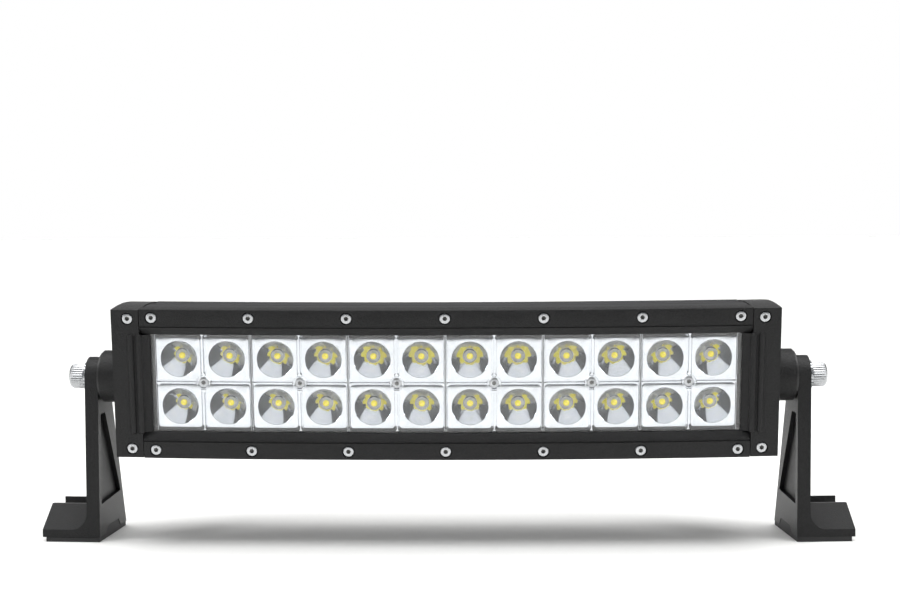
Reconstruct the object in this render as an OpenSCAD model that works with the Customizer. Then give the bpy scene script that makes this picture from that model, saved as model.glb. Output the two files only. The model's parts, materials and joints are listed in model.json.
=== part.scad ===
// Curved dual-row LED light bar on two die-cast foot brackets.
// Frame: X to the right seen from the lit side, light shines to -Y, Z up.
// Origin: midway between the two foot holes, on the underside of the pads.
// Lamp parts are drawn upright and level, with v the depth behind the bezel
// face at mid length, and are nodded down together about the pivots.

/* [Lamp body] */
// Bend radius of the bezel's front face
bend_r = 2500; // [2200:50:3200]
// Arc length from mid length to the outer face of an end bezel
half_length = 173.5; // [172:0.5:180]
// Height of the bezel
bezel_h = 80; // [78:0.5:82]
// Depth from the bezel face to the tips of the rearmost fins
fin_depth = 88.5; // [87:0.5:90]
// Downward nod of the lamp between its upright brackets, in degrees
rest_tilt = 8; // [0:1:25]

/* [Bezel] */
// Thickness of the bezel rails
rail_t = 6.75; // [6.5:0.25:7.5]
// Half height of the window that the rails frame
window_z = 26.1; // [25.5:0.1:26.5]
// Arc length from mid length to the window's end
window_s = 154; // [153.5:0.5:154.5]
// Arc length from mid length to the end of a rail
rail_end = 158.7; // [158.5:0.1:159]
// Width of an end bezel's side flange, measured front to back
side_flange = 18; // [12:1:20]

/* [Optics] */
// Pitch of the reflector modules along the bar
module_pitch = 50.8; // [50.6:0.1:51]
// Distance between the two rows of LEDs
row_pitch = 25.4; // [25:0.1:26]
// Diameter of a reflector bowl at its mouth
bowl_d = 19.4; // [18:0.2:20]
// Thickness of the clear lens
lens_t = 2.2; // [1.6:0.2:2.2]

/* [Brackets] */
// Distance between the two foot holes
foot_spacing = 410; // [409:0.5:420]
// Height of the pivot above the mounting surface
pivot_z = 89; // [85:1:110]
// Diameter of each foot hole
foot_hole_d = 8.5; // [8.5:0.1:9]
// Thickness of the bracket arm
arm_t = 7.2; // [6:0.2:8]
// Thickness of the rubber foot pad
pad_t = 2.6; // [2:0.1:3]

/* [Pivot] */
// How far the pivots lie below the middle of the lamp
pivot_drop = 3.7; // [0:0.1:4]
// Diameter of the pivot bolt's shank
pivot_d = 8; // [6:1:8]
// Diameter of the round boss on each end cap
boss_d = 28; // [26:1:30]
// Length of that boss from the cap's outer face to the friction washer
boss_len = 13.9; // [12:0.1:15]

/* [Hidden] */

$fn = 48;
arc_fn = 900;                    // facets of a full turn at the bend radius
eps = 0.01;
bezel_z = bezel_h / 2;

// Depths behind the bezel face
lens_v = 3.55;                   // front of the lens
sink_v = rail_t;                 // front of the heat sink's flanges
reflector_v = lens_v + lens_t + 0.35;
board_v = 15.2;                  // front of the LED board
board_t = 1.6;
core_v = board_v + board_t;      // front of the heat sink's core plate
core_t = 5.2;
core_back = core_v + core_t;
flange_back = 16.75;             // back of the flat that carries the rails
shelf_v = 18.75;                 // groove behind that flat ends here
shelf_back = 24.25;
duct_back = 36;                  // rear wall of the driver duct, outside
duct_wall = 2.2;
duct_z = 13;

// Heights above the middle of the lamp
channel_z = 27;                  // half height of the channel for the optics
flange_z = 39;                   // flats that carry the rails
shelf_z = 38.3;
groove_z = 36.6;
screw_z = 35.4;                  // rail screws
corner_z = 34.8;                 // end bezel corner screws
ridge_z = 30.3;                  // ridge between rail flat and slope
rail_flat_z = 31;

// Fins of the upper half: [upper surface, tip as a share of the fin depth]
fins = [[36.5, 0.449], [32.5, 0.627], [27.5, 0.751], [22, 0.864], [15.5, 0.949], [8, 1]];
fin_t = 1.8;
middle_fin_t = 2;

// End caps and end bezels
sink_end = rail_end - 0.5;       // end of the heat sink
gasket_t = 0.8;
cap_s = sink_end + gasket_t;     // inner edge of an end cap
cap_wall = 3;
cap_plate = 5.5;
cap_front = 5;                   // depth of the end bezel's front plate
cap_rise = 39.5;                 // half height of the cap at its front
cap_depth = fin_depth + 3.6 - cap_front;
bezel_s = rail_end + 0.3;        // inner edge of an end bezel beside the rails
flange_t = 4.6;                  // thickness of the end bezel's side flange
corner_s = 165;

// Screws
m3_head_r = 2.75;
m3_head_h = 2;
m3_r = 1.5;
m3_hole_r = 1.65;
m3_tap_r = 1.52;
m3_seat = 2.3;                   // depth of the counterbore round a head
head_seat_r = 2.8;               // recess round a reflector screw's head
head_sink = 1.5;
m4_r = 2;
m4_head_r = 3.6;
cap_screw_places = [[28, 33.4], [28, -33.4], [60, 23.7], [60, -23.7]];
port = 6.4;                      // side of the square screw ports between fins

// Pivots
end_angle = half_length / bend_r * 180 / PI;
pivot_v = 33;                    // behind the end bezel's front face
pivot_x = (bend_r - pivot_v) * sin(end_angle);
pivot_depth = bend_r - (bend_r - pivot_v) * cos(end_angle);
washer_t = 1.2;
run_gap = 0.1;                   // between bracket and the turning washers
arm_gap = boss_len + washer_t + run_gap;
lock_t = 1.9;
bolt_head_r = 6.5;
bolt_head_h = 8;
bolt_len = 25;
insert_r = 5.5;
insert_len = 12;
arm_bore_r = pivot_d / 2 + 0.06;

// Bracket in its own directions: u outward along the bolt, v back, w up
arm_r = 10.5;                    // rounded top of the arm
foot_rear = 41.5;                // rear edge of the foot behind the pivot
foot_u = 32;                     // outer end of the foot from the arm's inner face
floor_w = -pivot_z;
sole_w = floor_w + pad_t;        // underside of the casting
strip_w = floor_w + 6.7;
ridge_w = floor_w + 18;
front_ridge = [7, 9.6];          // front ridge, front and back
rear_ridge = [29.6, 31];         // rear ridge, front and back
hole_v = 19.5;
arm_x = pivot_x + arm_gap * cos(end_angle);
hole_u = (foot_spacing / 2 - arm_x + hole_v * sin(end_angle)) / cos(end_angle);
pivot_y = -(arm_gap + hole_u) * sin(end_angle) - hole_v * cos(end_angle);
fillet_r = 9;

// Cable gland and vent under the end caps
gland_s = 166.2;
gland_v = 50;
gland_seat = -36.6;              // flat face under the cap that it screws to
gland_pad_r = 7;
gland_thread_r = 5;
gland_bore_r = 3.25;

// Places of the 24 LEDs as [arc length, height]
led_places = [for (m = [0:5]) for (c = [-1, 1]) for (r = [-1, 1])
              [(m - 2.5) * module_pitch + c * 12.6, r * row_pitch / 2]];

// ---- placing ----

// Tilts the lamp's own upright frame into the row's frame.
module lamp() {
    translate([0, pivot_y, pivot_z]) rotate([rest_tilt, 0, 0])
        translate([0, -pivot_depth, pivot_drop]) children();
}

// Sweeps an outline in (v, z) along the bend, between two arc lengths.
module bent(s0, s1) {
    translate([0, bend_r, 0])
        rotate_extrude(start = s0 / bend_r * 180 / PI - 90,
                       angle = (s1 - s0) / bend_r * 180 / PI, $fn = arc_fn)
            translate([bend_r, 0]) mirror([1, 0]) children();
}

// Moves a piece drawn at mid length to an arc length along the bend.
module at_arc(s) {
    translate([0, bend_r, 0]) rotate([0, 0, s / bend_r * 180 / PI])
        translate([0, -bend_r, 0]) children();
}

// A cylinder along v, from one depth to another.
module bar_v(r, v0, v1) {
    translate([0, v0, 0]) rotate([-90, 0, 0]) cylinder(r = r, h = v1 - v0);
}

// Draws a right-hand piece, or its mirror image on the left.
module hand(side) {
    mirror([side < 0 ? 1 : 0, 0, 0]) children();
}

// The right-hand pivot's directions: u outward along the bolt from the arm's
// inner face, v back, w up.
module pivot_frame() {
    translate([pivot_x, pivot_y, pivot_z]) rotate([0, 0, end_angle])
        translate([arm_gap, 0, 0]) children();
}

// A cylinder along u.
module bar_u(r, u0, u1) {
    translate([u0, 0, 0]) rotate([0, 90, 0]) cylinder(r = r, h = u1 - u0);
}

// ---- lamp body ----

// Half of the heat sink's section, above the middle.
module sink_half() {
    translate([core_v, 0]) square([core_t, channel_z + 1]);
    translate([sink_v, channel_z]) square([flange_back - sink_v, flange_z - channel_z]);
    translate([flange_back - 1, channel_z]) square([shelf_back - flange_back + 1, groove_z - channel_z]);
    translate([shelf_v, channel_z]) square([shelf_back - shelf_v, shelf_z - channel_z]);
    for (f = fins)
        translate([core_back - 1, f[0] - fin_t]) square([f[1] * fin_depth - core_back + 1, fin_t]);
    for (p = cap_screw_places)
        if (p[1] > 0) translate([p[0] - port / 2, p[1] - port / 2]) square(port);
    translate([core_back - 1, 0]) square([duct_back - core_back + 1, duct_z]);
    translate([duct_back - 1, 0]) square([fin_depth - duct_back + 1, middle_fin_t / 2]);
}

module heat_sink() color("#262626") lamp() difference() {
    bent(-sink_end, sink_end) difference() {
        union() {
            sink_half();
            mirror([0, 1]) sink_half();
        }
        translate([core_back, -duct_z + duct_wall])
            square([duct_back - duct_wall - core_back, 2 * (duct_z - duct_wall)]);
    }
    for (i = [-3:3]) for (r = [-1, 1])
        at_arc(i * module_pitch) translate([0, 0, r * screw_z]) bar_v(m3_tap_r, sink_v - 1, sink_v + 8.2);
    for (i = [0:5]) at_arc((i - 2.5) * module_pitch) bar_v(m3_tap_r, core_v - 1, core_v + 4.2);
    for (side = [-1, 1]) hand(side) for (p = cap_screw_places)
        at_arc(sink_end) translate([-12, p[0], p[1]]) bar_u(m4_r + 0.02, 0, 13);
}

// Section of the upper rail: flat, groove, ridge, slope and lens rebate.
module rail_section() {
    polygon([[rail_t, bezel_z], [0.8, bezel_z], [0.25, bezel_z - 0.25], [0, bezel_z - 0.8],
             [0, rail_flat_z], [0.6, rail_flat_z], [0.6, ridge_z + 0.2], [0.1, ridge_z],
             [0.3, ridge_z - 0.6], [2.8, window_z], [lens_v - 0.05, window_z],
             [lens_v - 0.05, window_z + 2.6], [rail_t, window_z + 2.6]]);
}

module bezel_rail(r) color("#2b2b2b") lamp() mirror([0, 0, r < 0 ? 1 : 0]) difference() {
    bent(-rail_end, rail_end) rail_section();
    for (i = [-3:3]) at_arc(i * module_pitch) translate([0, 0, screw_z]) {
        bar_v(m3_hole_r, -1, rail_t + 1);
        bar_v(m3_head_r + 0.45, -1, m3_seat);
    }
}

// The end cap's D outline: flat front, half an ellipse behind it.
module cap_outline() {
    polygon([for (a = [-90:6:90]) [cap_front + cap_depth * cos(a), cap_rise * sin(a)]]);
}

module cap_inside(wall) {
    polygon([for (a = [-90:6:90])
             [cap_front + wall + (cap_depth - 2 * wall) * cos(a), (cap_rise - wall) * sin(a)]]);
}

// Right-hand end cap: a shallow cup with a screw land, pivot boss and bosses.
module end_cap(side) color("#242424") hand(side) {
    difference() {
        union() {
            lamp() difference() {
                bent(cap_s, half_length) cap_outline();
                bent(cap_s - 1, half_length - cap_plate) cap_inside(cap_wall);
                // seat of the end bezel's side flange
                bent(half_length - flange_t - 0.1, half_length + 1)
                    translate([0, -bezel_z]) square([cap_front + side_flange, bezel_h]);
            }
            lamp() intersection() {
                bent(cap_s + 0.02, half_length - cap_plate + 0.5) cap_inside(cap_wall - 1.2);
                union() {
                    for (p = cap_screw_places)
                        at_arc(cap_s) translate([0, p[0], p[1]]) bar_u(5, -1, 12);
                    for (r = [-1, 1])
                        at_arc(corner_s) translate([0, 0, r * corner_z]) bar_v(4, 0, 18);
                    // backs up the seat of the side flange
                    at_arc(half_length - flange_t - 3.2) translate([0, 0, -50])
                        cube([10, cap_front + side_flange + 3, 100]);
                }
            }
            lamp() at_arc(gland_s) translate([0, gland_v, gland_seat]) cylinder(r = gland_pad_r, h = 6.5);
            pivot_frame() bar_u(boss_d / 2, -arm_gap - 5.2, -washer_t - run_gap);
        }
        lamp() {
            for (p = cap_screw_places) at_arc(cap_s) translate([0, p[0], p[1]]) {
                bar_u(m4_r + 0.2, -2, 20);
                bar_u(m4_head_r + 0.3, 11.2, 20);
            }
            for (r = [-1, 1])
                at_arc(corner_s) translate([0, 0, r * corner_z]) bar_v(m3_tap_r, cap_front - 1, 16);
            at_arc(gland_s) translate([0, gland_v, -45]) cylinder(r = gland_thread_r, h = 20);
        }
        pivot_frame() bar_u(insert_r, -washer_t - run_gap - insert_len, 1);
        pivot_frame() bar_u(pivot_d / 2 + 0.3, -17.5, 1);
    }
}

// Right-hand end bezel: front plate, side flange and the lip beside the window.
module end_bezel(side) color("#2b2b2b") hand(side) difference() {
    lamp() union() {
        bent(bezel_s, half_length) translate([0, -cap_rise]) square([cap_front - 0.05, 2 * cap_rise]);
        bent(half_length - flange_t, half_length - 0.05) intersection() {
            translate([1, -cap_rise]) square([cap_front + side_flange - 1.1, 2 * cap_rise]);
            cap_outline_front();
        }
        lip();
    }
    lamp() for (r = [-1, 1]) at_arc(corner_s) translate([0, 0, r * corner_z]) {
        bar_v(m3_hole_r, -1, cap_front + 1);
        bar_v(m3_head_r + 0.45, -1, m3_seat);
    }
    pivot_frame() bar_u(boss_d / 2 + 0.4, -arm_gap - 8, 0);
}

// The cap's outline with its front carried forward to the bezel's face.
module cap_outline_front() {
    translate([-1, -cap_rise]) square([cap_front + 1.2, 2 * cap_rise]);
    cap_outline();
}

// Sloped lip that closes the window between the two rails.
module lip() {
    lip_z = window_z - 0.1;
    difference() {
        bent(window_s, bezel_s + eps) translate([0, -lip_z]) square([lens_v - 0.1, 2 * lip_z]);
        at_arc(bezel_s) translate([0, 0, -lip_z - 1])
            linear_extrude(2 * lip_z + 2)
                polygon([[-9, -3], [0, -3], [0, 0.3], [window_s - bezel_s, 2.8], [-9, 2.8]]);
    }
}

module end_gasket(side) color("#151515") hand(side) lamp() difference() {
    bent(sink_end + 0.02, cap_s - 0.02) difference() {
        intersection() {
            cap_inside(0.6);
            translate([rail_t + 0.5, -50]) square(100);
        }
        translate([9, 0]) difference() {
            translate([-5, -26]) square([60, 52]);
            for (p = cap_screw_places) translate([p[0] - 9, p[1]]) circle(r = 5);
        }
    }
    for (p = cap_screw_places)
        at_arc(sink_end) translate([0, p[0], p[1]]) bar_u(m4_r + 0.2, -1, 2);
}

// ---- optics ----

module lens_cover() color("#dfe8ee", 0.35) lamp()
    bent(-window_s - 2.5, window_s + 2.5) translate([lens_v, -window_z - 2.3])
        square([lens_t, 2 * window_z + 4.6]);

module lens_gasket() color("#1a1a1a") lamp() {
    depth = rail_t - lens_v - lens_t;
    outer = window_z + 2.3;
    for (r = [-1, 1]) bent(-window_s - 2.4, window_s + 2.4)
        translate([lens_v + lens_t, r > 0 ? channel_z + 0.1 : -outer])
            square([depth, outer - channel_z - 0.1]);
}

// A bowl: a parabola from the mouth down to the LED's collar, which runs on to
// a depth of v_end. The front is carried forward by lead.
module bowl(grow, lead, v_end) {
    r0 = 3.1;
    r1 = bowl_d / 2;
    v0 = reflector_v;
    v2 = board_v - 1.2;
    rotate([-90, 0, 0]) rotate_extrude() polygon(concat(
        [[0, v0 - lead], [0, v_end], [r0 + grow, v_end]],
        [for (t = [0:0.125:0.99]) let (r = r0 + (r1 - r0) * t)
            [r + grow, v2 + (v0 - v2) * (r * r - r0 * r0) / (r1 * r1 - r0 * r0)]],
        [[r1 + grow, v0 - lead]]));
}

module reflector(i) color("#d8dadc") lamp() at_arc((i - 3.5) * module_pitch) {
    half_x = module_pitch / 2 - 0.25;
    half_z = window_z + 0.5;
    places = [for (c = [-1, 1]) for (r = [-1, 1]) [c * 12.6, r * row_pitch / 2]];
    difference() {
        union() {
            translate([-half_x, reflector_v, -half_z]) cube([2 * half_x, 1.4, 2 * half_z]);
            for (x = [-half_x, half_x - 1.2]) translate([x, reflector_v, -half_z])
                cube([1.2, board_v - reflector_v - 0.2, 2 * half_z]);
            for (z = [-half_z, half_z - 1.2]) translate([-half_x, reflector_v, z])
                cube([2 * half_x, board_v - reflector_v - 0.2, 1.2]);
            for (p = places) translate([p[0], 0, p[1]]) bowl(1.2, -0.4, board_v - 0.2);
            bar_v(3.9, reflector_v + 0.2, board_v - 0.2);
        }
        for (p = places) translate([p[0], 0, p[1]]) bowl(0, 0.05, board_v + 1);
        bar_v(m3_hole_r, reflector_v - 1, board_v + 1);
        bar_v(head_seat_r, reflector_v - 1, reflector_v + head_sink);
    }
}

module led_board() color("#e9e9e4") lamp() difference() {
    bent(-152, 152) translate([board_v + 0.02, -26]) square([board_t - 0.04, 52]);
    for (i = [0:5]) at_arc((i - 2.5) * module_pitch) bar_v(m3_hole_r, board_v - 1, core_v + 1);
}

module led_packages() color("#f2f2ea") lamp() for (p = led_places)
    at_arc(p[0]) translate([-1.75, board_v - 0.8, p[1] - 1.75]) cube([3.5, 0.8, 3.5]);

module led_chips() color("#f0e23a") lamp() for (p = led_places)
    at_arc(p[0]) translate([-0.9, board_v - 1, p[1] - 0.9]) cube([1.8, 0.2, 1.8]);

module led_domes() color("#f4f4e8", 0.4) lamp() for (p = led_places)
    at_arc(p[0]) translate([0, board_v - 0.8, p[1]]) difference() {
        rotate([90, 0, 0]) intersection() {
            sphere(r = 1.7);
            translate([-3, -3, 0]) cube([6, 6, 3]);
        }
        translate([-0.92, -0.22, -0.92]) cube([1.84, 0.23, 1.84]);
    }

// ---- driver in the duct behind the core plate ----

driver_v = core_back + 2.4;
driver_half = 52;
driver_spots = [for (x = [-46, 46]) for (z = [-7.5, 7.5]) [x, z]];

module driver_board() color("#1f6b3a") lamp() difference() {
    translate([-driver_half, driver_v, -10.2]) cube([2 * driver_half, 1.6, 20.4]);
    for (p = driver_spots) translate([p[0], 0, p[1]]) bar_v(m3_hole_r, driver_v - 1, driver_v + 3);
}

module driver_spacers() color("#e8e4d8") lamp() for (p = driver_spots)
    translate([p[0], 0, p[1]]) difference() {
        bar_v(2.6, core_back + 0.5, driver_v);
        bar_v(m3_hole_r, core_back, driver_v + 1);
    }

module driver_screws() color("#c9ccd0") lamp() for (p = driver_spots)
    translate([p[0], 0, p[1]]) {
        bar_v(2.5, driver_v + 1.6, driver_v + 3.2);
        bar_v(m3_r, core_back + 0.5, driver_v + 1.7);
    }

module driver_inductors() color("#3a3a3a") lamp() for (x = [-22, 0, 22])
    translate([x - 4.5, driver_v + 1.6, -4.5]) cube([9, 4.5, 9]);

module driver_capacitors() color("#30343c") lamp() for (x = [-34, -11, 11, 34])
    translate([x, 0, 0]) bar_v(3.2, driver_v + 1.6, driver_v + 7.2);

module driver_chips() color("#101010") lamp() for (x = [-28, -16, 16, 28]) for (z = [-7, 7])
    translate([x - 2, driver_v + 1.6, z - 2]) cube([4, 1.5, 4]);

// Two insulated leads from the board along the duct into the right end cap.
module supply_leads() color("#a02020") lamp() for (z = [-3, 3])
    bent(driver_half - 4, 161) translate([driver_v + 5, z]) circle(r = 1.1, $fn = 24);

// ---- screws ----

// A cap screw along v with its head's face at depth v0 and a hex socket.
module cap_screw(head_r, head_h, shank_r, shank, v0, socket) {
    difference() {
        union() {
            bar_v(head_r, v0, v0 + head_h);
            bar_v(shank_r, v0 + head_h - eps, v0 + head_h + shank);
        }
        translate([0, v0 - 1, 0]) rotate([-90, 0, 0])
            cylinder(d = socket / cos(30), h = head_h * 0.55 + 1, $fn = 6);
    }
}

module rail_screws(r) color("#d0d0d0") lamp() for (i = [-3:3])
    at_arc(i * module_pitch) translate([0, 0, r * screw_z])
        cap_screw(m3_head_r, m3_head_h, m3_r, 11.8, m3_seat - m3_head_h, 2);

module corner_screws() color("#d0d0d0") lamp() for (s = [-1, 1]) for (r = [-1, 1])
    at_arc(s * corner_s) translate([0, 0, r * corner_z])
        cap_screw(m3_head_r, m3_head_h, m3_r, 11.8, m3_seat - m3_head_h, 2);

module reflector_screws() color("#b8b8b4") lamp() for (i = [0:5])
    at_arc((i - 2.5) * module_pitch)
        cap_screw(2.6, 1.3, m3_r, core_v + 4 - reflector_v - head_sink, reflector_v + head_sink - 1.3, 2);

module cap_screws(side) color("#c8c8c8") hand(side) lamp() for (p = cap_screw_places)
    at_arc(cap_s) translate([0, p[0], p[1]]) difference() {
        union() {
            bar_u(m4_head_r, 11.2, 13.6);
            bar_u(m4_r, -10, 11.3);
        }
        translate([12.4, 0, 0]) rotate([0, 90, 0]) cylinder(d = 2.5 / cos(30), h = 3, $fn = 6);
    }

// ---- pivots ----

module threaded_insert(side) color("#b49a55") hand(side) pivot_frame() difference() {
    bar_u(insert_r, -washer_t - run_gap - insert_len, -washer_t - run_gap - 0.1);
    bar_u(pivot_d / 2 + 0.02, -20, 1);
}

module friction_washer(side) color("#181818") hand(side) pivot_frame() difference() {
    bar_u(13, -washer_t - run_gap, -run_gap);
    bar_u(pivot_d / 2 + 0.05, -5, 1);
}

module lock_washer(side) color("#b9b9b4") hand(side) pivot_frame() difference() {
    bar_u(7.7, arm_t + run_gap, arm_t + run_gap + lock_t);
    bar_u(pivot_d / 2 + 0.05, 0, 20);
    for (a = [0:15:345]) rotate([a, 0, 0])
        translate([arm_t, 6.7, -0.45]) cube([lock_t + 2, 3, 0.9]);
}

module pivot_bolt(side) color("#d4d4d4") hand(side) pivot_frame() {
    seat = arm_t + run_gap + lock_t;
    difference() {
        union() {
            bar_u(bolt_head_r, seat, seat + bolt_head_h);
            bar_u(pivot_d / 2, seat - bolt_len, seat + eps);
        }
        translate([seat + 4, 0, 0]) rotate([0, 90, 0]) cylinder(d = 6 / cos(30), h = 6, $fn = 6);
    }
}

// ---- brackets ----

// Side outline of the arm: round top, upright front edge, raking rear edge.
module arm_outline() {
    reach = norm([foot_rear, sole_w]);
    rake = atan2(sole_w, foot_rear) + acos(arm_r / reach);
    steps = 16;
    polygon(concat([[-arm_r, sole_w], [foot_rear, sole_w]],
        [for (i = [0:steps]) let (a = rake + (180 - rake) * i / steps) [arm_r * cos(a), arm_r * sin(a)]]));
}

// Side outline of the foot: a ramp up to a ridge, the screw pocket, a ridge.
module foot_outline() {
    polygon([[-arm_r, sole_w], [-arm_r, strip_w], [front_ridge[0], ridge_w], [front_ridge[1], ridge_w],
             [front_ridge[1], strip_w], [rear_ridge[0], strip_w], [rear_ridge[0], ridge_w],
             [rear_ridge[1], ridge_w], [foot_rear, strip_w], [foot_rear, sole_w]]);
}

// Extrudes an outline in (v, w) along u.
module along_u(u0, u1) {
    translate([u0, 0, 0]) rotate([90, 0, 90]) linear_extrude(u1 - u0) children();
}

// Concave fillet between the arm and the foot, in facets.
module fillet() {
    translate([0, foot_rear + 1, 0]) rotate([90, 0, 0]) linear_extrude(foot_rear + arm_r + 2)
        polygon(concat([[arm_t - 1, sole_w]], [[arm_t + fillet_r, sole_w]],
            [for (a = [90:-15:0]) [arm_t + fillet_r * (1 - cos(a)), strip_w + fillet_r * (1 - sin(a))]],
            [[arm_t - 1, strip_w + fillet_r]]));
}

module bracket(side) color("#333333") hand(side) pivot_frame() difference() {
    union() {
        along_u(0, arm_t) arm_outline();
        along_u(arm_t - 1, foot_u - 0.4) foot_outline();
        intersection() {
            along_u(arm_t - 1, arm_t + fillet_r) arm_outline();
            fillet();
        }
    }
    bar_u(arm_bore_r, -1, arm_t + 1);
    // recessed web on the inner side
    along_u(-1, 2.4) polygon([[-6.2, -20], [2.5, -20], [30.5, floor_w + 22], [-6.2, floor_w + 20]]);
    // arch over the pad's raised key
    along_u(-1, arm_t - 0.4) polygon([[1.5, sole_w - 1], [1.5, sole_w], [5, sole_w + 3.9],
                                      [26, sole_w + 3.9], [29.5, sole_w], [29.5, sole_w - 1]]);
    translate([hole_u, hole_v, floor_w]) cylinder(d = foot_hole_d, h = 12);
    // room for a washer under the bolt or nut beside the fillet
    translate([hole_u, hole_v, strip_w]) cylinder(r = 9.2, h = 12);
}

module foot_pad(side) color("#1a1a1a") hand(side) pivot_frame() difference() {
    union() {
        translate([0.2, -arm_r + 0.2, floor_w]) cube([foot_u - 2.4, foot_rear + arm_r - 0.4, pad_t - 0.02]);
        along_u(0.2, arm_t - 0.5) polygon([[1.7, sole_w - 0.1], [5.1, sole_w + 3.8],
                                           [25.9, sole_w + 3.8], [29.3, sole_w - 0.1]]);
    }
    translate([hole_u, hole_v, floor_w - 1]) cylinder(d = foot_hole_d, h = 12);
}

// ---- cable gland and vent ----

// Places a gland part, with its own axis pointing down and out of the cap.
module under_cap(side) {
    lamp() hand(side) at_arc(gland_s) translate([0, gland_v, gland_seat]) children();
}

module gland_body() color("#202020") under_cap(1) difference() {
    union() {
        translate([0, 0, -3.4]) cylinder(r = gland_pad_r, h = 3.38, $fn = 6);
        translate([0, 0, -6.6]) cylinder(r = 5.4, h = 3.3);
        translate([0, 0, -0.2]) cylinder(r = gland_thread_r - 0.02, h = 7.5);
    }
    translate([0, 0, -8]) cylinder(r = 3.9, h = 16);
}

module gland_seal() color("#3c3c3c") under_cap(1) difference() {
    translate([0, 0, -8]) cylinder(r = 3.88, h = 7);
    translate([0, 0, -9]) cylinder(r = gland_bore_r, h = 9);
}

module gland_nut() color("#202020") under_cap(1) difference() {
    translate([0, 0, -9.6]) cylinder(r = 7, h = 6.1);
    translate([0, 0, -8.1]) cylinder(r = 5.42, h = 5);
    translate([0, 0, -10]) cylinder(r = 3.6, h = 5);
}

module pressure_vent() color("#202020") under_cap(-1) {
    translate([0, 0, -3]) cylinder(r = 6.4, h = 2.98);
    translate([0, 0, -0.2]) cylinder(r = gland_thread_r - 0.02, h = 6);
}

heat_sink();
bezel_rail(1);  // bezel_rail_top
bezel_rail(-1);  // bezel_rail_bottom
end_bezel(-1);  // end_bezel_left
end_bezel(1);  // end_bezel_right
end_cap(-1);  // end_cap_left
end_cap(1);  // end_cap_right
end_gasket(-1);  // end_gasket_left
end_gasket(1);  // end_gasket_right
lens_cover();
lens_gasket();
for (i = [1:6]) reflector(i);
led_board();
led_packages();
led_chips();
led_domes();
driver_board();
driver_inductors();
driver_capacitors();
driver_chips();
driver_spacers();
driver_screws();
supply_leads();
rail_screws(1);  // rail_screws_top
rail_screws(-1);  // rail_screws_bottom
corner_screws();
reflector_screws();
cap_screws(-1);  // cap_screws_left
cap_screws(1);  // cap_screws_right
threaded_insert(-1);  // threaded_insert_left
threaded_insert(1);  // threaded_insert_right
pivot_bolt(-1);  // pivot_bolt_left
pivot_bolt(1);  // pivot_bolt_right
lock_washer(-1);  // lock_washer_left
lock_washer(1);  // lock_washer_right
friction_washer(-1);  // friction_washer_left
friction_washer(1);  // friction_washer_right
bracket(-1);  // bracket_left
bracket(1);  // bracket_right
foot_pad(-1);  // foot_pad_left
foot_pad(1);  // foot_pad_right
gland_body();
gland_seal();
gland_nut();
pressure_vent();
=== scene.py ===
import json
from math import atan2, cos, hypot, pi, radians, sin, sqrt

import bmesh
import bpy
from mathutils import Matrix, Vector


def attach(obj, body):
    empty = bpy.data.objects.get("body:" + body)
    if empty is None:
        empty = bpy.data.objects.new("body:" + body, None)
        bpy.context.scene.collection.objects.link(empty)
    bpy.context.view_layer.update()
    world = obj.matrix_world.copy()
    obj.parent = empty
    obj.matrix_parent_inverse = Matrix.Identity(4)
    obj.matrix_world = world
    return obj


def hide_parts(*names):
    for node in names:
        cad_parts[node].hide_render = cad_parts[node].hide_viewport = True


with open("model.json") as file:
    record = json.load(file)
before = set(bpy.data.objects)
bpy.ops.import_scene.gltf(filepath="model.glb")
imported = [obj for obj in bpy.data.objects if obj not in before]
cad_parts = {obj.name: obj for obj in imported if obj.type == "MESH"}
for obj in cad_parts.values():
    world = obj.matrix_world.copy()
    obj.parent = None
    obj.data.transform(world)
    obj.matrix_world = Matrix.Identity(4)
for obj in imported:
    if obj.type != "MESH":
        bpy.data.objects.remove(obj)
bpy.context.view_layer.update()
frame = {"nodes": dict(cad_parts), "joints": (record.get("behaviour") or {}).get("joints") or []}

scene = bpy.context.scene

# ---- Camera ----
# Stands a little right of the middle and above the lamp, at a portrait lens's distance, and
# looks slightly down, so that the lamp's top, the feet and the lit side all show.
view = bpy.data.objects.new("camera", bpy.data.cameras.new("camera"))
scene.collection.objects.link(view)
view.location = (0.0208, -0.9615, 0.1799)
view.rotation_euler = (radians(90 - 3.06), radians(0.25), radians(1.14))
view.data.sensor_width = 36
view.data.lens = 70
view.data.clip_start = 0.01
scene.camera = view


# ---- Studio floor ----
# A wide sheet of matt white paper, the plain surface that the bar stands on. Its fibres give a
# very slight mottle and no shine.
def linear(colour):
    """An sRGB hex colour as the linear colour that a shader takes."""
    parts = [int(colour[i:i + 2], 16) / 255 for i in (1, 3, 5)]
    return [p / 12.92 if p <= 0.04045 else ((p + 0.055) / 1.055) ** 2.4 for p in parts] + [1]


def add(tree, kind, inputs=None, **settings):
    """Adds a node with its settings, and sets its inputs to a value or links them to a socket."""
    made = tree.nodes.new("ShaderNode" + kind)
    for name, value in settings.items():
        setattr(made, name, value)
    for name, value in (inputs or {}).items():
        if isinstance(value, bpy.types.NodeSocket):
            tree.links.new(value, made.inputs[name])
        else:
            made.inputs[name].default_value = value
    return made


def material(name):
    """A new material with an empty node tree."""
    made = bpy.data.materials.new(name)
    made.use_nodes = True
    made.node_tree.nodes.clear()
    return made, made.node_tree


def per_mm(size):
    """The scale that gives a texture features of this size in millimetres."""
    return 1000 / size


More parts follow.
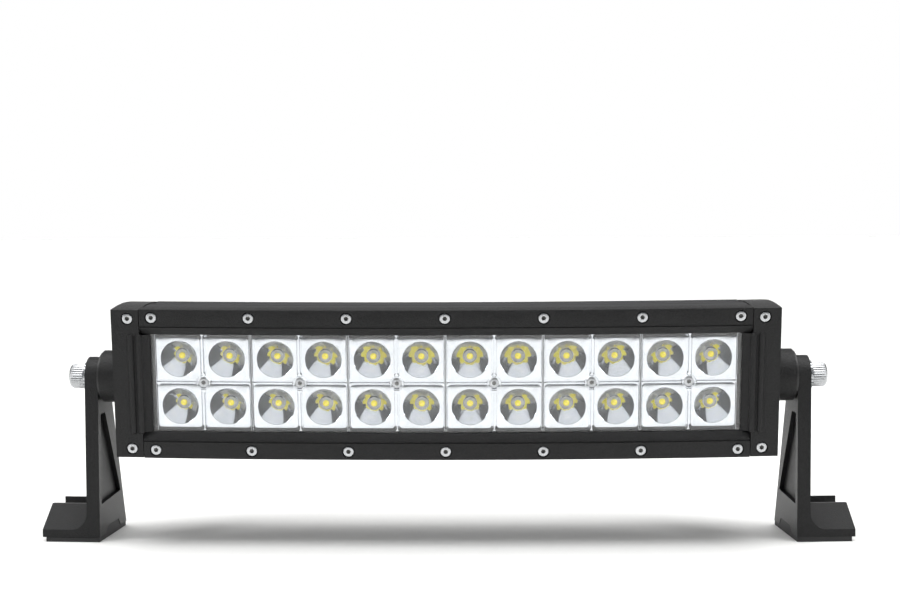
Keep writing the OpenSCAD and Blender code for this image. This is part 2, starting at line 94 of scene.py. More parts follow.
paper, tree = material("uncoated white paper")
place = add(tree, "TexCoord").outputs["Object"]
fibres = add(tree, "TexNoise", {"Vector": place, "Scale": per_mm(3), "Detail": 3})
mottle = add(tree, "ValToRGB", {"Fac": fibres.outputs["Fac"]})
mottle.color_ramp.elements[0].color = linear("#f1f1ef")
mottle.color_ramp.elements[1].color = linear("#f7f7f6")
skin = add(tree, "BsdfPrincipled", {"Base Color": mottle.outputs["Color"], "Roughness": 0.9,
                                    "Specular IOR Level": 0.2})
add(tree, "OutputMaterial", {"Surface": skin.outputs["BSDF"]})

sheet = bpy.data.meshes.new("floor")
reach = 9
sheet.from_pydata([(-reach, -reach, 0), (reach, -reach, 0), (reach, reach, 0), (-reach, reach, 0)],
                  [], [(0, 1, 2, 3)])
floor = bpy.data.objects.new("floor", sheet)
floor.data.materials.append(paper)
scene.collection.objects.link(floor)

# ---- Studio light ----
# One large softbox overhead and a little in front, a narrower one on each side, and a gridded
# bank that lights only the floor behind the bar, so that it runs into the white wall. The room
# itself is bright behind the bar, dimmer and cooler on the lit side, and dark overhead.
scene.view_settings.view_transform = "Standard"
for name, spot, aim, size, power, spread in [
        ("softbox_top", (0, -0.4, 1.5), (0, 0, 0.06), (2.0, 1.1), 31, 180),
        ("softbox_left", (-1.6, -0.9, 0.7), (0, 0, 0.06), (0.4, 1.2), 10, 180),
        ("softbox_right", (1.6, -0.9, 0.7), (0, 0, 0.06), (0.4, 1.2), 10, 180),
        ("floor_bank", (0, 6.2, 4), (0, 6.2, 0), (16, 12), 560, 60)]:
    lamp = bpy.data.lights.new(name, "AREA")
    lamp.shape = "RECTANGLE"
    lamp.size, lamp.size_y = size
    lamp.energy = power
    lamp.spread = radians(spread)
    softbox = bpy.data.objects.new(name, lamp)
    softbox.location = spot
    softbox.rotation_euler = (Vector(aim) - softbox.location).to_track_quat("-Z", "Y").to_euler()
    scene.collection.objects.link(softbox)

room = bpy.data.worlds.new("studio room")
room.use_nodes = True
room.node_tree.nodes.clear()
tree = room.node_tree
direction = add(tree, "SeparateXYZ", {"Vector": add(tree, "TexCoord").outputs["Generated"]})
walls = add(tree, "ValToRGB", {"Fac": add(tree, "MapRange", {
    "Value": direction.outputs["Y"], "From Min": -1, "From Max": 1}).outputs["Result"]})
walls.color_ramp.elements[0].position = 0.2
walls.color_ramp.elements[0].color = linear("#50565c")
walls.color_ramp.elements[1].position = 0.55
walls.color_ramp.elements[1].color = linear("#ffffff")
ceiling = add(tree, "MapRange", {"Value": direction.outputs["Z"], "From Min": 0.14, "From Max": 0.3,
                                 "To Min": 1.0, "To Max": 0.35})
glow = add(tree, "Background", {"Color": walls.outputs["Color"], "Strength": ceiling.outputs["Result"]})
add(tree, "OutputWorld", {"Surface": glow.outputs["Background"]})
scene.world = room

# ---- Heat sink ----
# One length of extruded aluminium, rolled to the bar's bend and anodised black: a channel for
# the optics, a duct for the driver, and horizontal fins with fine corrugations along them.
MM = 0.001
bend_radius = 2500 * MM
body_half = 173.5 * MM
nod = radians(8)
pivot_behind = 33 * MM
pivot_below = 3.7 * MM
pivots = {j["name"]: Vector(j["pos_m"]) for j in frame["joints"]}
pivot = pivots["right_pivot"]
toe = body_half / bend_radius
pivot_set_back = bend_radius - (bend_radius - pivot_behind) * cos(toe)


def in_lamp(arc, x, v, z):
    """A point of the lamp in mm: arc along the bend, x beside it, v behind the bezel face, z up."""
    turn = arc * MM / bend_radius
    depth = bend_radius - v * MM
    across = depth * sin(turn) + x * MM * cos(turn)
    back = bend_radius - depth * cos(turn) + x * MM * sin(turn) - pivot_set_back
    up = z * MM + pivot_below
    return Vector((across, back * cos(nod) - up * sin(nod) + pivot.y,
                   back * sin(nod) + up * cos(nod) + pivot.z))


def piece(name, points, faces, finish, body, sharp=35, second=None, second_faces=()):
    """A mesh piece that rides on a body, smooth except at sharp edges, in one or two finishes."""
    mesh = bpy.data.meshes.new(name)
    mesh.from_pydata(points, [], faces)
    mesh.materials.append(finish)
    if second:
        mesh.materials.append(second)
        for i in second_faces:
            mesh.polygons[i].material_index = 1
    work = bmesh.new()
    work.from_mesh(mesh)
    bmesh.ops.remove_doubles(work, verts=work.verts, dist=1e-7)
    bmesh.ops.dissolve_degenerate(work, edges=work.edges, dist=1e-7)
    bmesh.ops.recalc_face_normals(work, faces=work.faces)
    work.to_mesh(mesh)
    work.free()
    mesh.shade_smooth()
    mesh.set_sharp_from_angle(angle=radians(sharp))
    made = bpy.data.objects.new(name, mesh)
    scene.collection.objects.link(made)
    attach(made, body)
    return made


def bridge(rings, closed=True):
    """Quads between neighbouring rings of equal length, numbered one ring after the other."""
    count = len(rings[0])
    quads = []
    for r in range(len(rings) - 1):
        for i in range(count if closed else count - 1):
            j = (i + 1) % count
            quads.append((r * count + i, r * count + j, (r + 1) * count + j, (r + 1) * count + i))
    return quads


def add_rings(points, faces, rings, closed=True):
    """Adds a skin over rings of points to a mesh that is being gathered."""
    start = len(points)
    points += [p for ring in rings for p in ring]
    faces += [tuple(start + i for i in quad) for quad in bridge(rings, closed)]


# The anodised skin is dyed nearly black, and fine lines from the extrusion die run along it. The
# lines are drawn coarser than life, so that they show.
anodised, tree = material("black anodised extrusion")
place = add(tree, "TexCoord").outputs["Object"]
along = add(tree, "Mapping", {"Vector": place, "Scale": (0.02, 1, 1)})
die_lines = add(tree, "TexNoise", {"Vector": along.outputs["Vector"], "Scale": per_mm(0.35),
                                   "Detail": 3})
dye = add(tree, "ValToRGB", {"Fac": die_lines.outputs["Fac"]})
dye.color_ramp.elements[0].position = 0.3
dye.color_ramp.elements[0].color = linear("#151516")
dye.color_ramp.elements[1].position = 0.7
dye.color_ramp.elements[1].color = linear("#252527")
satin = add(tree, "MapRange", {"Value": die_lines.outputs["Fac"], "To Min": 0.42, "To Max": 0.55})
etch = add(tree, "TexNoise", {"Vector": place, "Scale": per_mm(0.4), "Detail": 2})
relief = add(tree, "Bump", {"Height": etch.outputs["Fac"], "Strength": 0.25, "Distance": 0.00005})
skin = add(tree, "BsdfPrincipled", {"Base Color": dye.outputs["Color"],
                                    "Roughness": satin.outputs["Result"],
                                    "Normal": relief.outputs["Normal"], "Specular IOR Level": 0.28})
add(tree, "OutputMaterial", {"Surface": skin.outputs["BSDF"]})

sink_half_length = 158.2
corrugation_pitch = 1.8
corrugation_depth = 0.4
wave_steps = 6
# each fin of the upper half: its top face, its tip, and where the gap below it ends
fins = [(36.5, 39.7, 31.2), (32.5, 55.5, 24.25), (27.5, 66.5, 63.2), (22, 76.5, 22),
        (15.5, 84, 36), (8, 88.5, 36), (1, 88.5, None)]
fin_thickness = 1.8


def corrugated(v0, v1, z, inward):
    """Points from v0 to v1 along a fin's face, waved towards its middle."""
    count = max(1, round(abs(v1 - v0) / corrugation_pitch))
    steps = count * wave_steps
    return [(v0 + (v1 - v0) * i / steps,
             z + inward * corrugation_depth * (0.5 - 0.5 * cos(2 * pi * i / wave_steps)))
            for i in range(steps + 1)]


upper = [(16.8, 27), (6.75, 27), (6.75, 38.7), (6.85, 38.93), (7.1, 39), (16.4, 39), (16.7, 38.9),
         (16.75, 38.6), (16.75, 36.6), (18.75, 36.6), (18.75, 38), (18.85, 38.25), (19.1, 38.3),
         (23.9, 38.3), (24.2, 38.2), (24.25, 37.9), (24.25, 36.5)]
root = 24.25
for top, tip, gap_end in fins:
    upper += corrugated(root, tip - 0.4, top, -1)
    upper.append((tip, top - 0.4))
    if gap_end is not None:
        upper.append((tip, top - fin_thickness + 0.4))
        upper += corrugated(tip - 0.4, gap_end, top - fin_thickness, 1)
        root = gap_end
outline = upper + [(v, -z) for v, z in reversed(upper)]
bend_steps = 9
stations = [sink_half_length * (i / bend_steps - 1) for i in range(2 * bend_steps + 1)]
rings = [[in_lamp(s, 0, v, z) for v, z in outline] for s in stations]
last = len(outline) * (len(stations) - 1)
ends = [tuple(range(len(outline))), tuple(last + i for i in range(len(outline)))]
heat_sink = piece("finned_heat_sink", [p for r in rings for p in r], bridge(rings) + ends,
                  anodised, "light", 40)
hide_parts("heat_sink")

# ---- Bezel and end caps ----
# Two extruded rails and two die-cast end bezels frame the window, and two die-cast cups close
# the ends. All are powder coated satin black: edges are soft, and a fine grain breaks up the
# highlights. The grain is drawn coarser than life, so that it shows.
powder, tree = material("satin black powder coat")
place = add(tree, "TexCoord").outputs["Object"]
grain = add(tree, "TexNoise", {"Vector": place, "Scale": per_mm(0.9), "Detail": 4,
                               "Roughness": 0.7})
tone = add(tree, "ValToRGB", {"Fac": grain.outputs["Fac"]})
tone.color_ramp.elements[0].position = 0.32
tone.color_ramp.elements[0].color = linear("#080808")
tone.color_ramp.elements[1].position = 0.72
tone.color_ramp.elements[1].color = linear("#1a1a1b")
gloss = add(tree, "MapRange", {"Value": grain.outputs["Fac"], "To Min": 0.3, "To Max": 0.5})
relief = add(tree, "Bump", {"Height": grain.outputs["Fac"], "Strength": 1.0, "Distance": 0.0004})
skin = add(tree, "BsdfPrincipled", {"Base Color": tone.outputs["Color"],
                                    "Roughness": gloss.outputs["Result"],
                                    "Normal": relief.outputs["Normal"], "Specular IOR Level": 0.28})
add(tree, "OutputMaterial", {"Surface": skin.outputs["BSDF"]})


def dress(node, finish, edge=0.0, steps=2):
    """Gives a CAD node its finish and, where edge is set, rounds its sharp edges by that many mm."""
    part = frame["nodes"][node]
    part.data.materials.clear()
    part.data.materials.append(finish)
    if edge:
        part.data.attributes.remove(part.data.attributes["custom_normal"])
        part.data.shade_smooth()
        weld = part.modifiers.new("weld", "WELD")
        weld.merge_threshold = 1e-6
        flats = part.modifiers.new("flats", "DECIMATE")
        flats.decimate_type = "DISSOLVE"
        flats.angle_limit = radians(0.2)
        rounding = part.modifiers.new("rounding", "BEVEL")
        rounding.width = edge * MM
        rounding.segments = steps
        rounding.limit_method = "ANGLE"
        rounding.angle_limit = radians(30)
        rounding.harden_normals = True
    return part


for node in ("bezel_rail_top", "bezel_rail_bottom"):
    dress(node, powder, 0.2)
for side in ("left", "right"):
    dress("end_bezel_" + side, powder, 0.3)
    dress("end_cap_" + side, powder, 0.5)

# Each end bezel carries two round-ended beads beside the window, cast with it.
bead_half_height = 26.8
bead_proud = 1.2
bead_root = 0.05  # how far the foot of a bead sinks into the bezel
for side, sign in (("left", -1), ("right", 1)):
    points, faces = [], []
    # the outer bead and the inner one, by their place along the bend and their width
    for centre, width in ((163.6, 3.2), (159.3, 3.6)):
        half = width / 2
        heights = [bead_half_height - half + half * sin(radians(a)) for a in range(0, 91, 15)]
        heights = [-h for h in reversed(heights)] + heights
        rows = []
        for h in heights:
            over = max(0.0, abs(h) - (bead_half_height - half)) / half
            share = sqrt(max(0.0, 1 - over * over))
            rows.append([in_lamp(sign * centre, share * half * cos(radians(a)),
                                 bead_root - (bead_proud + bead_root) * share * sin(radians(a)), h)
                         for a in range(0, 181, 15)])
        add_rings(points, faces, rows, closed=False)
    piece("end_bezel_beads_" + side, points, faces, powder, "light")

# ---- Gaskets ----
# Flat moulded silicone between the body and its end caps, and a strip behind each long edge of
# the lens. It is a dull, even black with a faint bloom, and only its edges can be seen.
silicone, tree = material("moulded black silicone")
place = add(tree, "TexCoord").outputs["Object"]
bloom = add(tree, "TexNoise", {"Vector": place, "Scale": per_mm(4), "Detail": 3})
tone = add(tree, "ValToRGB", {"Fac": bloom.outputs["Fac"]})
tone.color_ramp.elements[0].color = linear("#121212")
tone.color_ramp.elements[1].color = linear("#202020")
skin = add(tree, "BsdfPrincipled", {"Base Color": tone.outputs["Color"], "Roughness": 0.7,
                                    "IOR": 1.41})
add(tree, "OutputMaterial", {"Surface": skin.outputs["BSDF"]})
for node in ("end_gasket_left", "end_gasket_right", "lens_gasket", "gland_seal"):
    dress(node, silicone)

# ---- LED board ----
# An aluminium-cored circuit board carries the 24 LEDs: a white ceramic package, a yellow
# phosphor chip and a clear silicone dome each. Its solder mask is a glossy white lacquer, a
# little greyer along the edges of the copper beneath.
solder_mask, tree = material("white solder mask")
place = add(tree, "TexCoord").outputs["Object"]
pour = add(tree, "TexVoronoi", {"Vector": place, "Scale": per_mm(6)}, feature="DISTANCE_TO_EDGE")
tone = add(tree, "ValToRGB", {"Fac": pour.outputs["Distance"]})
tone.color_ramp.elements[0].color = linear("#d8d8d0")
tone.color_ramp.elements[1].position = 0.1
tone.color_ramp.elements[1].color = linear("#ecece6")
skin = add(tree, "BsdfPrincipled", {"Base Color": tone.outputs["Color"], "Roughness": 0.35})
add(tree, "OutputMaterial", {"Surface": skin.outputs["BSDF"]})
dress("led_board", solder_mask)

# Sintered ceramic is a dense matt white with a faint grain.
ceramic, tree = material("sintered white ceramic")
place = add(tree, "TexCoord").outputs["Object"]
grains = add(tree, "TexNoise", {"Vector": place, "Scale": per_mm(0.4), "Detail": 3})
tone = add(tree, "ValToRGB", {"Fac": grains.outputs["Fac"]})
tone.color_ramp.elements[0].color = linear("#cfcfca")
tone.color_ramp.elements[1].color = linear("#efefea")
skin = add(tree, "BsdfPrincipled", {"Base Color": tone.outputs["Color"], "Roughness": 0.45})
add(tree, "OutputMaterial", {"Surface": skin.outputs["BSDF"]})
dress("led_packages", ceramic, 0.1)

# The phosphor is a strong greenish yellow and is given a weak painted glow, though the LED is unlit. Its
# grain is drawn coarser than life.
phosphor, tree = material("cast yellow phosphor with painted glow")
place = add(tree, "TexCoord").outputs["Object"]
powder_grain = add(tree, "TexNoise", {"Vector": place, "Scale": per_mm(0.3), "Detail": 2})
tone = add(tree, "ValToRGB", {"Fac": powder_grain.outputs["Fac"]})
tone.color_ramp.elements[0].color = linear("#dcd010")
tone.color_ramp.elements[1].color = linear("#f0e634")
# The emission is the painted glow, since the LED itself gives no light.
skin = add(tree, "BsdfPrincipled", {"Base Color": tone.outputs["Color"], "Roughness": 0.6,
                                    "Emission Color": linear("#e0d008"), "Emission Strength": 0.6})
add(tree, "OutputMaterial", {"Surface": skin.outputs["BSDF"]})
dress("led_chips", phosphor)

# A low cap of phosphor round each chip, open over it, stands for the yellow that the dome shows
# to the sides and the bowls mirror. Its size is chosen for that, and the real layer may be flat.
module_pitch = 50.8
bowl_centre = (12.6, 12.7)
module_count = 6
cap_foot = 14.38
cap_radius = 1.66
cap_wall = 0.12
points, faces = [], []
profile = [(cap_radius * cos(radians(e)), cap_foot - cap_radius * sin(radians(e)))
           for e in range(0, 53, 13)]
profile += [(r - cap_wall, v + 0.05) for r, v in reversed(profile)]
profile.append(profile[0])
for number in range(module_count):
    arc = (number - (module_count - 1) / 2) * module_pitch
    for side_x in (-1, 1):
        for side_z in (-1, 1):
            rings = [[in_lamp(arc, side_x * bowl_centre[0] + r * cos(radians(a)), v,
                              side_z * bowl_centre[1] + r * sin(radians(a)))
                      for a in range(0, 360, 15)] for r, v in profile]
            add_rings(points, faces, rings)
# The caps take the same painted glow from the phosphor finish.
piece("led_phosphor_caps", points, faces, phosphor, "light")

# Clear silicone is water white and smooth, and gives each dome one small highlight.
clear_silicone, tree = material("moulded clear silicone")
place = add(tree, "TexCoord").outputs["Object"]
ripple = add(tree, "TexNoise", {"Vector": place, "Scale": per_mm(2), "Detail": 1})
relief = add(tree, "Bump", {"Height": ripple.outputs["Fac"], "Strength": 0.1, "Distance": 0.00002})
skin = add(tree, "BsdfPrincipled", {"Base Color": linear("#fdfdf8"), "Roughness": 0.03, "IOR": 1.41,
                                    "Transmission Weight": 1, "Normal": relief.outputs["Normal"]})
add(tree, "OutputMaterial", {"Surface": skin.outputs["BSDF"]})
domes = dress("led_domes", clear_silicone)
domes.visible_shadow = False  # light reaches the chip through the clear dome

# ---- Reflectors ----
# Six modules of four bowls, moulded in plastic and metallised in vacuum: a slightly grey mirror,
# bent a little by the moulding's ripple. Ribs part the cells, and one screw holds each module.
# The modules' pitch and the bowls' centres are those of the LEDs.
metallised, tree = material("vacuum metallised moulding")
place = add(tree, "TexCoord").outputs["Object"]
ripple = add(tree, "TexNoise", {"Vector": place, "Scale": per_mm(5), "Detail": 2})
relief = add(tree, "Bump", {"Height": ripple.outputs["Fac"], "Strength": 0.12, "Distance": 0.0002})
haze = add(tree, "MapRange", {"Value": ripple.outputs["Fac"], "To Min": 0.04, "To Max": 0.09})
film = add(tree, "ValToRGB", {"Fac": ripple.outputs["Fac"]})
film.color_ramp.elements[0].color = linear("#cccfd3")
film.color_ramp.elements[1].color = linear("#dddfe2")
skin = add(tree, "BsdfPrincipled", {"Base Color": film.outputs["Color"], "Metallic": 1,
                                    "Roughness": haze.outputs["Result"],
                                    "Normal": relief.outputs["Normal"]})
add(tree, "OutputMaterial", {"Surface": skin.outputs["BSDF"]})

module_half = (module_pitch - 0.5) / 2
mouth = 9.6
rim = 0.12
face_depth = 6.1
bowl_foot = 14.9
focus = 13.8
focal_length = (sqrt((face_depth - focus) ** 2 + mouth ** 2) - (focus - face_depth)) / 2
groove = 1.6
cell_top = 24.1
cell_side = 24.4
cell_gap = 1.2
module_top = 26.6
border_drop = 1.6
facet_count = 8
quadrant_steps = 14


def bowl_radius(v, angle):
    """Radius of the bowl at depth v: a parabola round the chip, lightly scalloped near its foot."""
    radius = 2 * sqrt(focal_length * (focus + focal_length - v))
    fade = ((v - face_depth) / (bowl_foot - face_depth)) ** 2
    return radius * (1 + 0.025 * fade * (abs(sin(facet_count / 2 * angle)) - 0.64))


def to_box(angle, x0, x1, z0, z1, corner):
    """Point at this angle on a box with rounded corners, seen from the bowl's centre."""
    c, s = cos(angle), sin(angle)
    half_x = x1 if c > 0 else -x0
    half_z = z1 if s > 0 else -z0
    far = min(half_x / max(abs(c), 1e-9), half_z / max(abs(s), 1e-9))
    x, z = abs(far * c), abs(far * s)
    in_x, in_z = half_x - corner, half_z - corner
    if corner and x > in_x and z > in_z:
        # moves the point from the square corner in to the arc, along its own ray
        b = abs(c) * in_x + abs(s) * in_z
        far = b + sqrt(max(0.0, b * b - (in_x ** 2 + in_z ** 2 - corner ** 2)))
    return far * c, far * s


def cell(points, faces, arc, side_x, side_z):
    """Adds one cell: collar, bowl, rim, face plate, groove and outer border."""
    cx, cz = side_x * bowl_centre[0], side_z * bowl_centre[1]
    edge_x = (-bowl_centre[0], module_half - bowl_centre[0])
    edge_z = (-bowl_centre[1], module_top - bowl_centre[1])
    # the angles run evenly between the axes and the outer corners, so each corner has a point
    outer = atan2(edge_z[1], edge_x[1])
    inner = pi + atan2(-edge_z[0], -edge_x[0])
    lower = 2 * pi + atan2(edge_z[0], edge_x[1])
    stops = [0, outer, pi / 2, pi - outer, pi, inner, 3 * pi / 2, lower, 2 * pi]
    angles = [a0 + (a1 - a0) * i / quadrant_steps for a0, a1 in zip(stops, stops[1:])
              for i in range(quadrant_steps)]
    rings = [[(r * cos(a), r * sin(a), v) for a in angles]
             for r, v in ((3.1, bowl_foot), (3.3, bowl_foot - 0.4))]
    depths = [bowl_foot - (bowl_foot - face_depth - rim) * (i / 14) for i in range(15)]
    rings += [[(bowl_radius(v, a) * cos(a), bowl_radius(v, a) * sin(a), v) for a in angles]
              for v in depths]
    rings.append([((mouth + rim) * cos(a), (mouth + rim) * sin(a), face_depth) for a in angles])
    plate = (cell_gap - bowl_centre[0], cell_side - bowl_centre[0], cell_gap - bowl_centre[1],
             cell_top - bowl_centre[1])
    for shrink, v in ((0.25, face_depth), (0.07, face_depth + 0.07), (0, face_depth + 0.25),
                      (0, face_depth + groove)):
        box = (plate[0] + shrink, plate[1] - shrink, plate[2] + shrink, plate[3] - shrink)
        rings.append([(*to_box(a, *box, 1.8 - shrink), v) for a in angles])
    border = []
    for a in angles:
        x, z = to_box(a, edge_x[0], edge_x[1], edge_z[0], edge_z[1], 0)
        slope = max(0.0, z - plate[3]) / (edge_z[1] - plate[3])
        border.append((x, z, face_depth + groove + border_drop * slope))
    rings.append(border)
    add_rings(points, faces, [[in_lamp(arc, cx + side_x * x, v, cz + side_z * z) for x, z, v in ring]
                              for ring in rings])


def rib(points, faces, arc, x0, z0, x1, z1, width, flare):
    """Adds a raised rib with sloping sides from one end to the other, widening at flared ends."""
    length = hypot(x1 - x0, z1 - z0)
    ux, uz = (x1 - x0) / length, (z1 - z0) / length
    low, high = face_depth + groove + 0.05, face_depth - 0.15
    rows = []
    for t, spread in ((0, flare), (1.4, 0), (length - 1.4, 0), (length, flare)):
        half = width / 2 + spread
        section = ((-half - 0.12, low), (-half + 0.1, high), (half - 0.1, high), (half + 0.12, low))
        rows.append([in_lamp(arc, x0 + ux * t - uz * k, v, z0 + uz * t + ux * k) for k, v in section])
    add_rings(points, faces, rows, closed=False)


rib_end = 26.2
rib_start = 3.9  # the ribs stop at the ring round the screw
skirt_end = 15
for number in range(module_count):
    arc = (number - (module_count - 1) / 2) * module_pitch
    points, faces = [], []
    for side_x in (-1, 1):
        for side_z in (-1, 1):
            cell(points, faces, arc, side_x, side_z)
    for end in (-1, 1):
        rib(points, faces, arc, 0, end * rib_end, 0, end * rib_start, 0.7, 1.2)
        rib(points, faces, arc, end * (module_half - 0.6), 0, end * rib_start, 0, 0.5, 0)
    for side_x in (-1, 1):
        edge = side_x * (module_half - 0.35)
        rib(points, faces, arc, edge, -rib_end, edge, rib_end, 0.35, 0.15)
    # raised ring round the fixing screw
    profile = [(3.15, 8), (3.15, 6.1), (3.25, 5.95), (3.6, 5.95), (3.8, 6.15), (3.85, 6.9)]
    rings = [[in_lamp(arc, r * cos(radians(a)), v, r * sin(radians(a))) for a in range(0, 360, 10)]
             for r, v in profile]
    add_rings(points, faces, rings)
    # skirt down to the board
    corners = [(-module_half, -module_top), (module_half, -module_top), (module_half, module_top),
               (-module_half, module_top)]
    skirt = [[in_lamp(arc, x, v, z) for x, z in corners]
             for v in (face_depth + groove + border_drop, skirt_end)]
    add_rings(points, faces, skirt)
    module = piece(f"reflector_module_{number + 1}", points, faces, metallised, "light",
                   28)
    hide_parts(f"reflector_{number + 1}")

# ---- Lens ----
# A sheet of clear hard-coated polycarbonate over the whole window, sprung to the bend and held
# by the bezel. It is clear and glossy, and nearly invisible but for a soft sheen.
polycarbonate, tree = material("clear hard-coated polycarbonate sheet")
place = add(tree, "TexCoord").outputs["Object"]
wave = add(tree, "TexNoise", {"Vector": place, "Scale": per_mm(30), "Detail": 1})
relief = add(tree, "Bump", {"Height": wave.outputs["Fac"], "Strength": 0.05, "Distance": 0.0005})
skin = add(tree, "BsdfPrincipled", {"Base Color": linear("#fbfcfd"), "Roughness": 0.01, "IOR": 1.586,
                                    "Transmission Weight": 1, "Normal": relief.outputs["Normal"]})
add(tree, "OutputMaterial", {"Surface": skin.outputs["BSDF"]})
lens = dress("lens_cover", polycarbonate)
lens.visible_shadow = False  # light reaches the optics through the clear sheet

# ---- Driver in the duct ----
# A green fibreglass board on four nylon spacers behind the core plate, with three ferrite
# inductors, four sleeved capacitors and epoxy power chips, and two leads to the end cap. The
# board is a glossy green, and its cloth's weave is drawn coarser than life.
fibreglass, tree = material("green fibreglass board")
place = add(tree, "TexCoord").outputs["Object"]
weave = add(tree, "TexChecker", {"Vector": place, "Scale": per_mm(1), "Color1": linear("#1d5e33"),
                                 "Color2": linear("#22693a")})
skin = add(tree, "BsdfPrincipled", {"Base Color": weave.outputs["Color"], "Roughness": 0.35})
add(tree, "OutputMaterial", {"Surface": skin.outputs["BSDF"]})
dress("driver_board", fibreglass, 0.1)

# The plainer finishes each have two close tones and a slight unevenness, drawn coarser than
# life. Ferrite and rubber are dull, epoxy and nylon satin, the sleeves and the insulation a
# little glossier, and the brass is a warm metal.
speckled = {}
for name, dark, light, roughness, metallic in (
        ("sintered ferrite", "#2c2c2d", "#3c3c3d", 0.6, 0),
        ("sleeved aluminium can", "#252a33", "#343b46", 0.4, 0),
        ("moulded black epoxy", "#101010", "#1c1c1c", 0.5, 0),
        ("natural nylon", "#d9d5c8", "#e6e2d6", 0.45, 0),
        ("red PVC insulation", "#8a1616", "#9c2020", 0.4, 0),
        ("turned brass", "#b08d4a", "#c7a765", 0.3, 1),
        ("moulded black nylon", "#151515", "#222222", 0.45, 0),
        ("moulded black rubber", "#141414", "#222223", 0.62, 0)):
    made, tree = material(name)
    place = add(tree, "TexCoord").outputs["Object"]
    grain = add(tree, "TexNoise", {"Vector": place, "Scale": per_mm(0.8), "Detail": 3})
    tone = add(tree, "ValToRGB", {"Fac": grain.outputs["Fac"]})
    tone.color_ramp.elements[0].color = linear(dark)
    tone.color_ramp.elements[1].color = linear(light)
    relief = add(tree, "Bump", {"Height": grain.outputs["Fac"], "Strength": 0.3, "Distance": 0.00005})
    skin = add(tree, "BsdfPrincipled", {"Base Color": tone.outputs["Color"], "Roughness": roughness,
                                        "Metallic": metallic, "Normal": relief.outputs["Normal"]})
    add(tree, "OutputMaterial", {"Surface": skin.outputs["BSDF"]})
    speckled[name] = made
dress("driver_inductors", speckled["sintered ferrite"], 0.3)
dress("driver_capacitors", speckled["sleeved aluminium can"], 0.3)
dress("driver_chips", speckled["moulded black epoxy"], 0.15)
dress("driver_spacers", speckled["natural nylon"])
dress("supply_leads", speckled["red PVC insulation"])

# ---- Screws ----
# Stainless socket screws: M3 round the bezel and in the reflectors and driver, M4 through the
# end caps. The metal is light grey, and its turning marks, drawn coarser than life, blur the
# highlights.
stainless, tree = material("turned stainless steel")
place = add(tree, "TexCoord").outputs["Object"]
marks = add(tree, "TexNoise", {"Vector": place, "Scale": per_mm(0.3), "Detail": 3})
tone = add(tree, "ValToRGB", {"Fac": marks.outputs["Fac"]})
tone.color_ramp.elements[0].color = linear("#9b9da0")
tone.color_ramp.elements[1].color = linear("#c4c5c6")
brushed = add(tree, "MapRange", {"Value": marks.outputs["Fac"], "To Min": 0.2, "To Max": 0.36})
skin = add(tree, "BsdfPrincipled", {"Base Color": tone.outputs["Color"], "Metallic": 1,
                                    "Roughness": brushed.outputs["Result"]})
add(tree, "OutputMaterial", {"Surface": skin.outputs["BSDF"]})
for node in ("cap_screws_left", "cap_screws_right", "driver_screws"):
    dress(node, stainless, 0.2)

# The heading die leaves the inside of a socket dull, and it is painted darker still as painted shade for
# its deep recess.
forged_socket_shade, tree = material("dull socket with painted shade")
place = add(tree, "TexCoord").outputs["Object"]
scale = add(tree, "TexNoise", {"Vector": place, "Scale": per_mm(0.5), "Detail": 2})
tone = add(tree, "ValToRGB", {"Fac": scale.outputs["Fac"]})
tone.color_ramp.elements[0].color = linear("#4c4c4c")
tone.color_ramp.elements[1].color = linear("#7c7b78")
skin = add(tree, "BsdfPrincipled", {"Base Color": tone.outputs["Color"], "Metallic": 1,
                                    "Roughness": 0.55})
add(tree, "OutputMaterial", {"Surface": skin.outputs["BSDF"]})


def hexagon(angle, across_flats):
    """Radius of a hexagon at this angle."""
    return across_flats / 2 / cos((angle % (pi / 3)) - pi / 6)


screw_row = 35.4
corner_arc, corner_height = 165, 34.8
screw_steps = 36
socket = 2.2
thread = 1.5
# depth of the head's face, the head's radius and height, and depth of the tip
bezel_screw = (0.3, 2.75, 2, 14.1)
reflector_screw = (6.3, 2.6, 1.3, 20.8)
front_screws = {
    "rail_screws_top": ([(i * module_pitch, screw_row) for i in range(-3, 4)], bezel_screw),
    "rail_screws_bottom": ([(i * module_pitch, -screw_row) for i in range(-3, 4)], bezel_screw),
    "corner_screws": ([(x, z) for x in (-corner_arc, corner_arc)
                       for z in (-corner_height, corner_height)], bezel_screw),
    "reflector_screws": ([((i - (module_count - 1) / 2) * module_pitch, 0)
                          for i in range(module_count)], reflector_screw)}
screw_turn = [2 * pi * i / screw_steps for i in range(screw_steps)]
for node, (places, (top, head, height, tip)) in front_screws.items():
    points, faces, inside = [], [], []
    for arc, z in places:
        twist = arc / 7  # each is tightened to its own angle
        profile = [(0.01, tip), (thread - 0.3, tip), (thread, tip - 0.4), (thread, top + height),
                   (head, top + height), (head, top + 0.3), (head - 0.12, top + 0.1), (head - 0.35, top)]
        rings = [[(r * cos(a), r * sin(a), v) for a in screw_turn] for r, v in profile]
        for v in (top, top + 0.12, top + height * 0.55):
            radii = [hexagon(a - twist, socket) for a in screw_turn]
            rings.append([(r * cos(a), r * sin(a), v) for a, r in zip(screw_turn, radii)])
        rings.append([(0.01 * cos(a), 0.01 * sin(a), top + height * 0.75) for a in screw_turn])
        # everything past the socket's edge takes the dull finish with painted shade
        first = len(faces) + (len(profile) + 1) * screw_steps
        add_rings(points, faces, [[in_lamp(arc, x, v, z + dz) for x, dz, v in ring] for ring in rings])
        inside += range(first, len(faces))
    screws = piece("socket_" + node, points, faces, stainless, "light", 30,
                   forged_socket_shade, inside)
    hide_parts(node)

# ---- Pivots ----
# On each side an M8 socket head bolt with a knurled head runs through a toothed lock washer,
# the bracket and a nylon washer into a brass insert in the end cap.
bolt_seat = 9.2
bolt_end = 17.2
bolt_length = 25
bolt_socket = 6
knurl_teeth = 36
arm_gap = 15.2 * MM


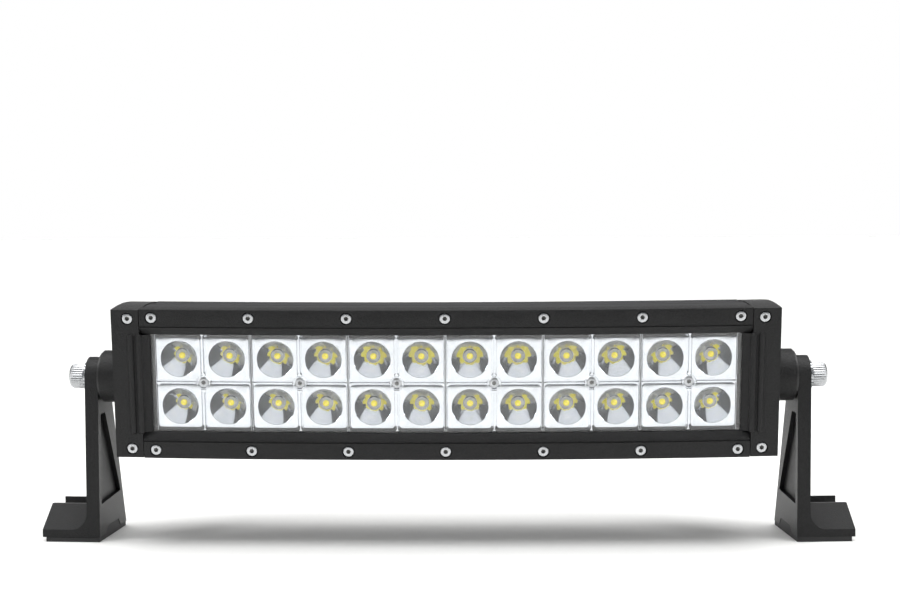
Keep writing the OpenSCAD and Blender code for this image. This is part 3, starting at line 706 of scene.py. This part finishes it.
def at_pivot(sign, u, v, w):
    """A point by a pivot: u outward from the arm's inner face, v back, w up, in mm."""
    out = arm_gap + u * MM
    return Vector((sign * (pivot.x + out * cos(toe) - v * MM * sin(toe)),
                   pivot.y + out * sin(toe) + v * MM * cos(toe), pivot.z + w * MM))


knurl = [0, 0.18, 0.25, 0.18]  # depth of the cut round one tooth
knurl_steps = knurl_teeth * len(knurl)
bolt_turn = [2 * pi * i / knurl_steps for i in range(knurl_steps)]
for side, sign in (("left", -1), ("right", 1)):
    rings = []
    for u, radius in ((bolt_seat - bolt_length, 0.01), (bolt_seat - bolt_length, 3.4),
                      (bolt_seat - bolt_length + 0.7, 4), (bolt_seat, 4), (bolt_seat, 6),
                      (bolt_seat + 0.5, 6.25)):
        rings.append([(u, radius)] * knurl_steps)
    for u in (bolt_seat + 0.7, bolt_end - 1.1):
        rings.append([(u, 6.5 - knurl[i % len(knurl)]) for i in range(knurl_steps)])
    for u, radius in ((bolt_end - 0.9, 6.25), (bolt_end - 0.25, 5.9), (bolt_end, 5.5), (bolt_end, 3.7)):
        rings.append([(u, radius)] * knurl_steps)
    for u in (bolt_end - 0.25, bolt_end - 4):
        rings.append([(u, hexagon(a, bolt_socket)) for a in bolt_turn])
    rings.append([(bolt_end - 4.8, 0.01)] * knurl_steps)
    points = [at_pivot(sign, u, r * cos(a), r * sin(a)) for ring in rings
              for a, (u, r) in zip(bolt_turn, ring)]
    bolt = piece("knurled_pivot_bolt_" + side, points, bridge(rings), stainless, "light",
                 30)
    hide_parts("pivot_bolt_" + side)
    dress("lock_washer_" + side, stainless, 0.1)
    dress("threaded_insert_" + side, speckled["turned brass"], 0.2)
    dress("friction_washer_" + side, speckled["moulded black nylon"], 0.2)

# ---- Brackets and foot pads ----
# Die-cast aluminium in the same powder coat: a raking arm with a recessed web, and a foot with
# two ridges round its bolt hole. A rubber pad keys into an arch under the foot.
for side in ("left", "right"):
    dress("bracket_" + side, powder, 0.6, 3)
    dress("foot_pad_" + side, speckled["moulded black rubber"], 0.4)

# ---- Cable gland and vent ----
# A nylon gland with a silicone seal under the right end cap, and a nylon vent plug under the
# left one.
for node in ("gland_body", "gland_nut", "pressure_vent"):
    dress(node, speckled["moulded black nylon"], 0.3)
